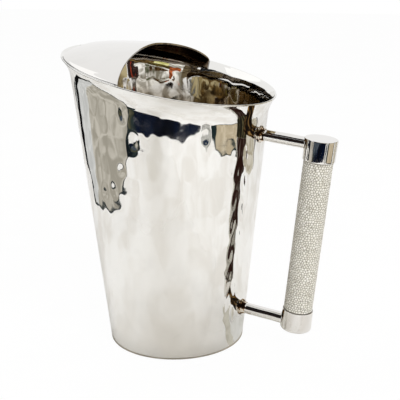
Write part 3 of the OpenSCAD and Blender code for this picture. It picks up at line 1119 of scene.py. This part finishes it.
room_card("room_table", 1.15, (-40, -51, -63), 0.265, 0.33, (38, 27, 14), (84, 60, 30), 9.0)
room_card("room_lintel", 1.15, (50, 36, 24, 10, -4, -20, -38), 0.46, 0.9, (34, 26, 16),
          (120, 94, 52), 5.0)
room_card("room_shelf", 1.1, (-36, -46, -56, -66), 0.37, 0.52, (52, 42, 20), (96, 84, 40), 6.0)
room_card("room_green", 1.1, (-36, -50, -60), 0.52, 0.72, (160, 160, 36), (244, 238, 180), 8.0)
room_card("room_orange", 1.05, (-55, -63), 0.1, 0.27, (206, 108, 60), (120, 62, 36), 7.0)
room_card("room_rust", 1.05, (-64, -70), 0.32, 0.5, (206, 110, 60), (110, 56, 32), 7.0)
room_card("room_brown", 1.1, (-74, -98), 0.0, 0.9, (52, 42, 30), (112, 98, 74), 5.0)
room_card("room_right", 1.2, (-4, 12, 24, 36, 48, 60, 72), 0.0, 0.8, (190, 176, 138),
          (124, 105, 60), 1.4)
room_card("room_curtain", 1.2, (56, 66, 76), 0.36, 1.2, (52, 54, 54), (136, 134, 126), 5.0)
room_card("room_olive", 1.14, (-17, -28, -38), 0.375, 0.47, (112, 92, 54), (46, 36, 20), 6.0)

# The pitcher's own shade on the paper, and the handle's painted shadow beside the foot, as strips that
# its wall shows
soft_card("card_shade", (0.02, -0.08, 0.0001), 0.17, (190, 182, 166), 0.22)
soft_card("card_mid_shade", (0.06, -0.25, 0.00011), 0.21, (212, 207, 198), 0.34)
soft_card("card_front_shade", (0.03, -0.41, 0.00012), 0.15, (190, 184, 171), 0.42)
soft_card("card_contact", (0.0, 0.0, 0.00013), 0.075, (60, 57, 50), 0.8)
floor_card("card_foot_strip", [
    (0.11, -0.006), (0.102, -0.004), (0.088, -0.009), (0.077, -0.007), (0.066, -0.0105),
    (0.056, -0.0125), (0.05, -0.012), (0.05, -0.006), (0.053, -0.007), (0.062, 0.0),
    (0.075, 0.003), (0.084, 0.009), (0.093, 0.017), (0.104, 0.02)],
    2, (184, 180, 168), (200, 196, 184), 60.0)
floor_card("card_foot_side", [
    (0.05, -0.006), (0.062, 0.0), (0.075, 0.003), (0.084, 0.009), (0.078, 0.03), (0.06, 0.045),
    (0.04, 0.048), (0.03, 0.04)],
    1, (217, 216, 212), (206, 205, 199), 40.0)

# A ring of painted contact shadow under the foot's rounded edge: its inner and outer radius and its level
# in metres
RING_RADII = (0.0526, 0.0545)
RING_LEVEL = 0.0005
RING_PARTS = 72
ring = [(*bearing(360 / RING_PARTS * n, r), RING_LEVEL) for r in RING_RADII for n in range(RING_PARTS)]
ring_faces = [(n, (n + 1) % RING_PARTS, RING_PARTS + (n + 1) % RING_PARTS, RING_PARTS + n)
              for n in range(RING_PARTS)]
ring_material = card_finish("card_contact_ring", (138, 132, 119), (172, 165, 151), 30.0)
only_in_gloss(flat_piece("card_contact_ring", ring, ring_faces, ring_material))


def dark_sleeve(name, places, dark, light, grain, parted=0.0, inward=False):
    """A streaky dark sleeve just off a part of the handle, seen only in the metal's gloss: painted shade,
    with paler painted glints, in the wall's reflection of that part, or with inward in that part's own
    reflection. It shows from outside only, or with inward from inside only, and parted lets slits
    through its lower half."""
    finish = new_finish(name)
    place = finish.place()
    streak = finish.noise(finish.stretched(place, grain), 420.0, 2.0, 0.5).between(0.5, 0.72)
    height = finish.node("ShaderNodeSeparateXYZ", {}, {"Vector": place}, 2)
    slit = finish.noise(finish.stretched(place, (1.0, 1.0, 0.22)), 150.0, 1.0, 0.5).between(0.52, 0.57)
    slit = slit * (1 - height.between(0.085, 0.125)) * parted
    colour = finish.tint(streak, shade(*dark), shade(*light))
    within = finish.node("ShaderNodeNewGeometry", output="Backfacing")
    if inward:
        within = 1 - within
    unseen = within + slit - within * slit
    made = skin(name, places, False, False)
    made.data.materials.append(finish.show(finish.mix(unseen, finish.glow(colour), finish.clear())))
    only_in_gloss(made)


def half_round(radius, start, end, start_spread, end_spread):
    """Places on the side of the grip's axis that faces the wall, from height start to end along it,
    reaching round by a spread in degrees to each side"""
    share = np.linspace(0, 1, 24)[None, :]
    spread = start_spread + (end_spread - start_spread) * share
    turn = 180 + spread * np.linspace(-1, 1, 49)[:, None]
    along = start + (end - start) * share + 0 * turn
    return on_grip(radius + 0 * turn, along, turn)


# The stems' sleeves: their distance off the stem, and the arch over a stem, its radius, its start
# and end round the stem and its distance from cap and wall
SLEEVE_OFF = 0.3
ARCH_R = 16
ARCH_TURNS = (-50, -27)
ARCH_OFF = 1


def round_stem_places(offset, cap_r):
    """Places just off a stem, from its cap to its collar"""
    turn = np.linspace(360, 0, 49)[:, None]
    end = stem_reach(offset) - COLLAR_LEN - SLEEVE_OFF
    reach = np.linspace(cap_r + SLEEVE_OFF, end, 16)[None, :, None]
    out = off_stem(turn) * (STEM_R + SLEEVE_OFF)
    return HANDLE_MID + ALONG_GRIP * offset + TO_WALL * reach + out


def stem_shade_places(offset, cap_r):
    """Places on an arch in front of and above a stem, which the stem's upper half shows"""
    turn = np.linspace(*ARCH_TURNS, 9)[:, None]
    reach = np.linspace(cap_r + ARCH_OFF, stem_reach(offset) - ARCH_OFF, 12)[None, :, None]
    return HANDLE_MID + ALONG_GRIP * offset + TO_WALL * reach + off_stem(turn) * ARCH_R


LONG_GRAIN = (1.0, 1.0, 0.12)
STEM_GRAIN = (0.3, 1.0, 1.0)
BOTH_STEMS = (("upper", stem_offset, UPPER_CAP_R), ("lower", -stem_offset, LOWER_CAP_R))
cap_foot = handle_len / 2 - CAP_LEN
# Painted shade and glints: dark sleeves that the wall reflects in place of the handle's shaded sides, and
# dark arches that the stems reflect
dark_sleeve("flag_grip", half_round(GRIP_R + 0.5, -cap_foot + 0.5, cap_foot - 0.5, 30, 72),
            (40, 22, 17), (96, 84, 76), LONG_GRAIN, 1.0)
dark_sleeve("flag_cap", half_round(UPPER_CAP_R + 0.4, cap_foot, handle_len / 2, 84, 84),
            (34, 32, 24), (110, 100, 70), LONG_GRAIN)
for which, offset, cap_r in BOTH_STEMS:
    dark_sleeve(f"flag_{which}_stem", round_stem_places(offset, cap_r), (24, 18, 14),
                (148, 114, 68), STEM_GRAIN)
for which, offset, cap_r in BOTH_STEMS:
    dark_sleeve(f"flag_{which}_shade", stem_shade_places(offset, cap_r), (22, 16, 14),
                (52, 36, 28), STEM_GRAIN, inward=True)


# Camera at the photograph's place

CAMERA_PLACE = (0.2810, -0.5829, 0.2925)
CAMERA_TURN = math.radians(23.98)
CAMERA_DIP = math.radians(15.71)
CAMERA_ROLL = math.radians(-0.75)
FOCUS_PIXELS = 859.6
FRAME_PIXELS = 400

ahead = Vector((-math.sin(CAMERA_TURN) * math.cos(CAMERA_DIP),
                math.cos(CAMERA_TURN) * math.cos(CAMERA_DIP), -math.sin(CAMERA_DIP)))
level = Vector((math.cos(CAMERA_TURN), math.sin(CAMERA_TURN), 0.0))
upward = level.cross(ahead)
right = level * math.cos(CAMERA_ROLL) + upward * math.sin(CAMERA_ROLL)
top = upward * math.cos(CAMERA_ROLL) - level * math.sin(CAMERA_ROLL)
camera_data = bpy.data.cameras.new("camera")
camera_data.sensor_width = 36.0
camera_data.lens = camera_data.sensor_width * FOCUS_PIXELS / FRAME_PIXELS
camera = in_scene("camera", camera_data)
axes = Matrix((right, top, -ahead)).transposed().to_4x4()
camera.matrix_world = Matrix.Translation(CAMERA_PLACE) @ axes
bpy.context.scene.camera = camera
bpy.context.scene.view_settings.view_transform = "Standard"
